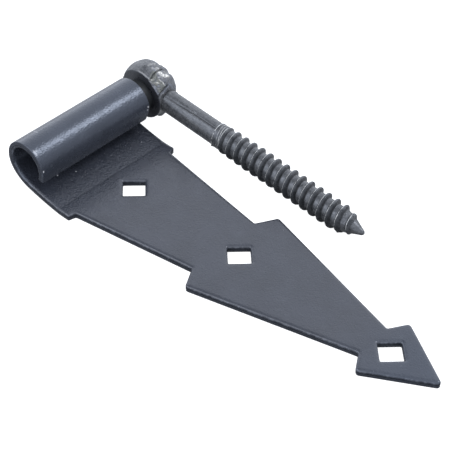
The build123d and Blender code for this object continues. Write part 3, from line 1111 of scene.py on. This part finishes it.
def coat_material(name, with_chips_and_glare):
    """Satin powder coat: orange peel, soft mottling, rubbed edges, painted shade at the bend and on
    the sheared wall, and, when asked, chips and a painted glare on the barrel.
    """
    shader = Shader(name)
    mottle = shader.noise(size=14.0, detail=3.0, rough=0.55).ramp(start=0.3, end=0.7)
    dark, light = (rgb(*(channel * tone for channel in COAT)) for tone in (0.90, 1.12))
    colour = shader.mix(mottle, dark, light)
    dust = shader.noise(size=5.0, detail=6.0, rough=0.72).ramp(start=0.56, end=0.74)
    colour = shader.mix(dust * 0.26, colour, rgb(0.046, 0.052, 0.062))
    root = shader.attribute("root")
    along, across, above = shader.split(shader.attribute("flat", "Vector"))
    shear = shader.attribute("shear", "Vector")
    _, drop, sheared = shader.split(shear)

    # painted shade: a dark, dull line where the strap bends up and a dark, dull band on the sheared
    # wall
    wander = (shader.noise(size=9.0) - 0.5) * 1.0
    fold = abs(along + wander - 20.2).ramp(start=0.95, end=0.05) * (above > 0.2)
    wall = abs(drop - 1.42).ramp(start=0.34, end=0.10)
    shade = (fold * 0.28).max(wall * 0.70) * 1.0
    colour = shader.mix(shade, colour, rgb(0.004, 0.005, 0.007))
    dull = (fold * 0.14).max(wall * 0.65)

    worn = shader.noise(size=2.2, detail=4.0, rough=0.65).ramp(start=0.42, end=0.66)
    rub = shader.attribute("edge") * worn
    colour = shader.mix(rub * 0.60, colour, rgb(0.085, 0.092, 0.108))
    if with_chips_and_glare:
        # light grey chips, and painted highlight where the barrel's glare is listed
        chips_and_glare = chip_and_glare_mask(shader, root, along, across, above)
        colour = shader.mix(chips_and_glare, colour, rgb(0.46, 0.46, 0.47))

    satin = shader.noise(size=6.0, detail=4.0, rough=0.6)
    # bluer gloss on the barrel and near the tip
    bluer = along.ramp(start=8.0, end=-6.0).max(along.ramp(start=150.0, end=190.0))
    scores = shader.noise(size=0.32, rough=0.6, coord=shear, stretch=(1.0, 0.10, 0.0))
    # orange peel, coarser where the sheet was rolled
    gain = root * 1.2 + 1.0
    return shader.finish({
        "Base Color": colour,
        "Specular IOR Level": (1.0 - dull) * 0.5,
        "Roughness": satin.ramp(start=0.3, end=0.7, low=0.215, high=0.30) + dust * 0.05,
        "IOR": 1.5,
        "Specular Tint": shader.mix(bluer, rgb(0.985, 1.0, 1.06), rgb(0.90, 1.0, 1.18)),
        "Normal": shader.bumps(
            ((scores - 0.5) * sheared, 0.020),
            (fold * -1.0, 0.030),
            (shader.noise(size=0.70, detail=1.0) * gain, 0.095),
            (shader.noise(size=1.7) * gain, 0.060),
        ),
    })


def pin_material():
    """Black turned steel, rubbed bright at the lead-in."""
    shader = Shader("pin_black")
    mottle = shader.noise(size=4.0, detail=3.0).ramp(start=0.35, end=0.65)
    colour = shader.mix(mottle, rgb(0.008, 0.009, 0.010), rgb(0.014, 0.015, 0.016))
    worn = shader.noise(size=1.6, detail=5.0, rough=0.7).ramp(start=0.45, end=0.62)
    rub = shader.attribute("edge") * worn
    satin = shader.noise(size=3.0, detail=4.0)
    turning = shader.noise(size=0.8, detail=3.0, rough=0.6, stretch=(0.05, 1.0, 0.05))
    return shader.finish({
        "Base Color": shader.mix(rub * 0.8, colour, rgb(0.24, 0.24, 0.25)),
        "Metallic": rub * 0.7,
        "Roughness": satin.ramp(start=0.3, end=0.7, low=0.42, high=0.55),
        "Specular IOR Level": 0.16,
        "Normal": shader.bumps(
            (turning, 0.012),
            (shader.noise(size=1.1, detail=3.0, rough=0.6), 0.012),
        ),
    })


def ball_material():
    """Black forging scale with a tan ground patch, dark laps and bright ridges; painted shade on
    the stop face and a painted highlight on part of its rim.
    """
    shader = Shader("ball_forged_black")
    ground = shader.attribute("ground")
    mottle = shader.noise(size=2.2, detail=5.0, rough=0.65).ramp(start=0.34, end=0.66)
    colour = shader.mix(mottle, rgb(0.014, 0.015, 0.017), rgb(0.058, 0.059, 0.062))
    grain = shader.noise(size=0.55, detail=4.0, rough=0.7).ramp(start=0.42, end=0.66)
    colour = shader.mix(grain * 0.35, colour, rgb(0.105, 0.102, 0.098))
    scale = shader.noise(size=1.3, detail=4.0, rough=0.7).ramp(start=0.47, end=0.58)
    plates = shader.attribute("scaly") * scale
    colour = shader.mix(plates * 0.55, colour, rgb(0.100, 0.110, 0.135))
    tan_grain = shader.noise(size=0.7, detail=4.0, rough=0.7).ramp(start=0.40, end=0.62)
    tan = shader.mix(tan_grain, rgb(0.026, 0.028, 0.024), rgb(0.098, 0.098, 0.080))
    cover = shader.noise(size=1.6, detail=4.0, rough=0.7).ramp(start=0.32, end=0.50)
    colour = shader.mix(ground * cover, colour, tan)
    # painted highlight on the stop face's rim
    colour = shader.mix(shader.attribute("painted_rim_highlight") * 0.55, colour, rgb(0.22, 0.22, 0.22))
    broken = shader.noise(size=0.8, detail=3.0, rough=0.6).ramp(start=0.34, end=0.50)
    shine = shader.attribute("high") * broken
    colour = shader.mix(shine, colour, rgb(0.55, 0.54, 0.51))
    # laps and the sunk patch darkened to near-black
    colour = shader.mix(shader.attribute("lap") * 0.85, colour, NEAR_BLACK)
    # painted shade on the stop face
    colour = shader.mix(shader.attribute("face") * 0.9, colour, rgb(0.014, 0.015, 0.018))
    satin = shader.noise(size=1.4, detail=4.0, rough=0.6)
    satin = satin.ramp(start=0.3, end=0.7, low=0.26, high=0.46)
    return shader.finish({
        "Base Color": colour,
        "Metallic": shine * 0.9,
        "Specular Tint": COOL_GLOSS,
        "Roughness": shader.mix(ground, satin, 0.44, kind="FLOAT"),
        "Normal": shader.bumps(
            (shader.noise(size=0.9, detail=5.0, rough=0.65), 0.120),
            (shader.noise(size=0.30, rough=0.6), 0.022),
        ),
    })


def screw_material():
    """Black steel, streaked along the shank; a broken light line along the crests that is bare
    steel and painted highlight; painted shade on the lower lands.
    """
    shader = Shader("screw_black")
    crest, valley, lead, shank, land = (
        shader.attribute(name) for name in ("crest", "valley", "lead", "shank", "land")
    )
    axis = shader.attribute("axis", "Vector")
    streak = shader.noise(size=1.0, detail=4.0, rough=0.6, coord=axis, stretch=(0.045, 1.3, 0.0))
    mottle = shader.noise(size=1.8, detail=5.0, rough=0.65).ramp(start=0.36, end=0.64)
    colour = shader.mix(mottle, rgb(0.016, 0.017, 0.018), rgb(0.043, 0.044, 0.046))
    drawn = streak.ramp(start=0.46, end=0.70) * (shank * 0.60)
    colour = shader.mix(drawn, colour, rgb(0.086, 0.086, 0.084))
    speck = shader.noise(size=0.55, detail=3.0, rough=0.7).ramp(start=0.52, end=0.66)
    colour = shader.mix(speck * (shank * 0.5), colour, rgb(0.115, 0.120, 0.130))
    scuff = shader.noise(size=0.7, detail=5.0, rough=0.7).ramp(start=0.45, end=0.68)
    colour = shader.mix(scuff * (valley * 0.45), colour, rgb(0.100, 0.100, 0.104))
    # painted shade: the lands on the lower side darker and duller
    patchy = shader.noise(size=1.4, detail=4.0, rough=0.65)
    patchy = patchy.ramp(start=0.30, end=0.62, low=0.80, high=0.40)
    colour = shader.mix(land * patchy, colour, rgb(0.008, 0.009, 0.010))
    # a broken light line along the crests and on the collar: bare steel and painted highlight
    broken = shader.noise(size=1.7, detail=4.0, rough=0.65).ramp(start=0.34, end=0.50)
    bare_and_glint = crest.ramp(start=0.25, end=0.85) * broken
    colour = shader.mix(bare_and_glint * 0.90, colour, rgb(0.52, 0.52, 0.51))
    # darker, near-black line along the crease
    colour = shader.mix(lead * 0.85, colour, NEAR_BLACK)
    dull = (land * 0.50).max(lead * 0.6)
    satin = shader.noise(size=1.3, detail=4.0, rough=0.6)
    return shader.finish({
        "Specular IOR Level": (1.0 - dull * (1.0 - bare_and_glint)) * 0.5,
        "Specular Tint": COOL_GLOSS,
        "Base Color": colour,
        "Metallic": bare_and_glint * 0.5,
        "Roughness": satin.ramp(start=0.3, end=0.7, low=0.22, high=0.40),
        "Normal": shader.bumps(
            (streak * shank, 0.05),
            (shader.noise(size=0.9, detail=4.0, rough=0.65), 0.040),
            (shader.noise(size=0.25, rough=0.6), 0.010),
        ),
    })


# ---------------------------------------------------------------------------
# Build the pieces and seat them on the bodies
# ---------------------------------------------------------------------------
def set_material(item, material):
    item.data.materials.clear()
    item.data.materials.append(material)


def seat(item, material, body, piece, slot):
    set_material(item, material)
    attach(item, body)
    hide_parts(piece)


strap_coat = dict(name="strap_powder_coat", with_chips_and_glare=True)
seat(build_strap(), coat_material(**strap_coat), "leaf", "strap_leaf", "strap_coat")
seat(build_pin(), pin_material(), "pin", "pintle_pin", "pin_coat")
seat(build_ball(), ball_material(), "hook", "ball_head", "ball_coat")
seat(build_screw(), screw_material(), "hook", "lag_screw", "lag_coat")

cad_coat = coat_material("cad_coat", with_chips_and_glare=False)
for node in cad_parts.values():
    set_material(node, cad_coat)


# ---------------------------------------------------------------------------
# Floor, light and camera
# ---------------------------------------------------------------------------
def floor_material():
    """Pale to the camera; to every other ray a grey reflector with painted light behind the hook.
    """
    material = bpy.data.materials.new("floor_pale")
    tree = Tree(material)
    glow = tree.signal("Emission", {"Color": rgb(1, 1, 1), "Strength": 0.84})
    pale = tree.signal("BsdfDiffuse", {"Color": rgb(0.34, 0.34, 0.34)})
    seen = tree.signal("AddShader", {0: glow, 1: pale})
    # painted light: to every other ray the floor is brighter behind the hook, standing in for a
    # backdrop there
    place = tree.signal("NewGeometry", output="Position")
    behind = tree.vector_math("DOT_PRODUCT", place, (-0.667, 0.745, 0.0), "Value")
    grey = behind.ramp(start=-5 * MM, end=30 * MM, low=0.18, high=0.40)
    unseen = tree.signal("BsdfDiffuse", {"Color": grey})
    from_camera = tree.signal("LightPath", output="Is Camera Ray")
    tree.output("Material", tree.signal("MixShader", {0: from_camera, 1: unseen, 2: seen}))
    return material


def build_floor(half=6, gap_mm=0.12):
    """Square of the given half side in metres, just under the strap."""
    work = bmesh.new()
    z = (BOT_Z - gap_mm) * MM
    corners = ((-half, -half), (half, -half), (half, half), (-half, half))
    work.faces.new([work.verts.new((x, y, z)) for x, y in corners])
    mesh = bpy.data.meshes.new("floor")
    work.to_mesh(mesh)
    work.free()
    floor = add_object("floor", mesh)
    mesh.materials.append(floor_material())


def direction(azimuth, elevation):
    around, up = math.radians(azimuth), math.radians(elevation)
    return Vector((math.cos(around) * math.cos(up), math.sin(around) * math.cos(up), math.sin(up)))


SKY_LEVEL = 1.85
SKY_TINT = rgb(0.955, 1.0, 1.09)
# brighter and darker areas of the sky, all in degrees but the last:
# azimuth, elevation, radius of the full core, radius of the faded edge, added level
SKY_AREAS = (
    (172, 60, 8, 27, -1.15),
    (95, 60, 5, 20, -0.25),
    (-122, 38, 12, 38, 1.5),
    (38, 5, 10, 34, -0.9),
    (148, 2, 4, 20, 0.55),
)


def build_world():
    """Tinted studio sky that the camera itself sees as plain white."""
    world = bpy.data.worlds.new("studio")
    bpy.context.scene.world = world
    tree = Tree(world)
    way = tree.signal("TexCoord", output="Generated")
    level = SKY_LEVEL
    for azimuth, elevation, core, edge, gain in SKY_AREAS:
        cos = tree.vector_math("DOT_PRODUCT", way, direction(azimuth, elevation), "Value")
        area = cos.ramp(start=math.cos(math.radians(edge)), end=math.cos(math.radians(core)))
        level = level + area * gain
    from_camera = tree.signal("LightPath", output="Is Camera Ray")
    strength = tree.mix(from_camera, level, 1.0, kind="FLOAT")
    colour = tree.mix(from_camera, SKY_TINT, rgb(1, 1, 1))
    tree.output("World", tree.signal("Background", {"Color": colour, "Strength": strength}))


def softbox(name, azimuth, elevation, size, radiance, tint, distance=1.3):
    """Square area light aimed at a point near the barrel; lengths in metres."""
    light = bpy.data.lights.new(name, "AREA")
    light.shape = "RECTANGLE"
    light.size = light.size_y = size
    light.energy = radiance * math.pi * size * size
    light.color = tint
    lamp = add_object(name, light)
    way = direction(azimuth, elevation)
    lamp.location = Vector((0.06, 0.01, 0)) + way * distance
    lamp.rotation_mode = "QUATERNION"
    lamp.rotation_quaternion = (-way).to_track_quat("-Z", "Y")
    lamp.visible_camera = False


def build_camera():
    data = bpy.data.cameras.new("camera")
    camera = add_object("camera", data)
    data.sensor_width = 36.0
    data.lens = 116.34
    data.clip_start, data.clip_end = 0.05, 20.0
    place = np.round(CAMERA_AT * MM, 6)
    axes = columns(*np.array([CAMERA_RIGHT, -CAMERA_DOWN, -CAMERA_AHEAD, place]).T).T
    camera.matrix_world = Matrix([*axes.tolist(), (0, 0, 0, 1)])
    bpy.context.scene.camera = camera


build_floor()
build_world()
softbox("key_soft", azimuth=60, elevation=53, size=0.39, radiance=11.5, tint=(0.98, 1.0, 1.05))
softbox("fill_soft", azimuth=-124, elevation=46, size=0.40, radiance=2.0, tint=(0.98, 1.0, 1.04))
build_camera()
bpy.context.scene.view_settings.view_transform = "Standard"
bpy.context.scene.view_settings.look = "None"
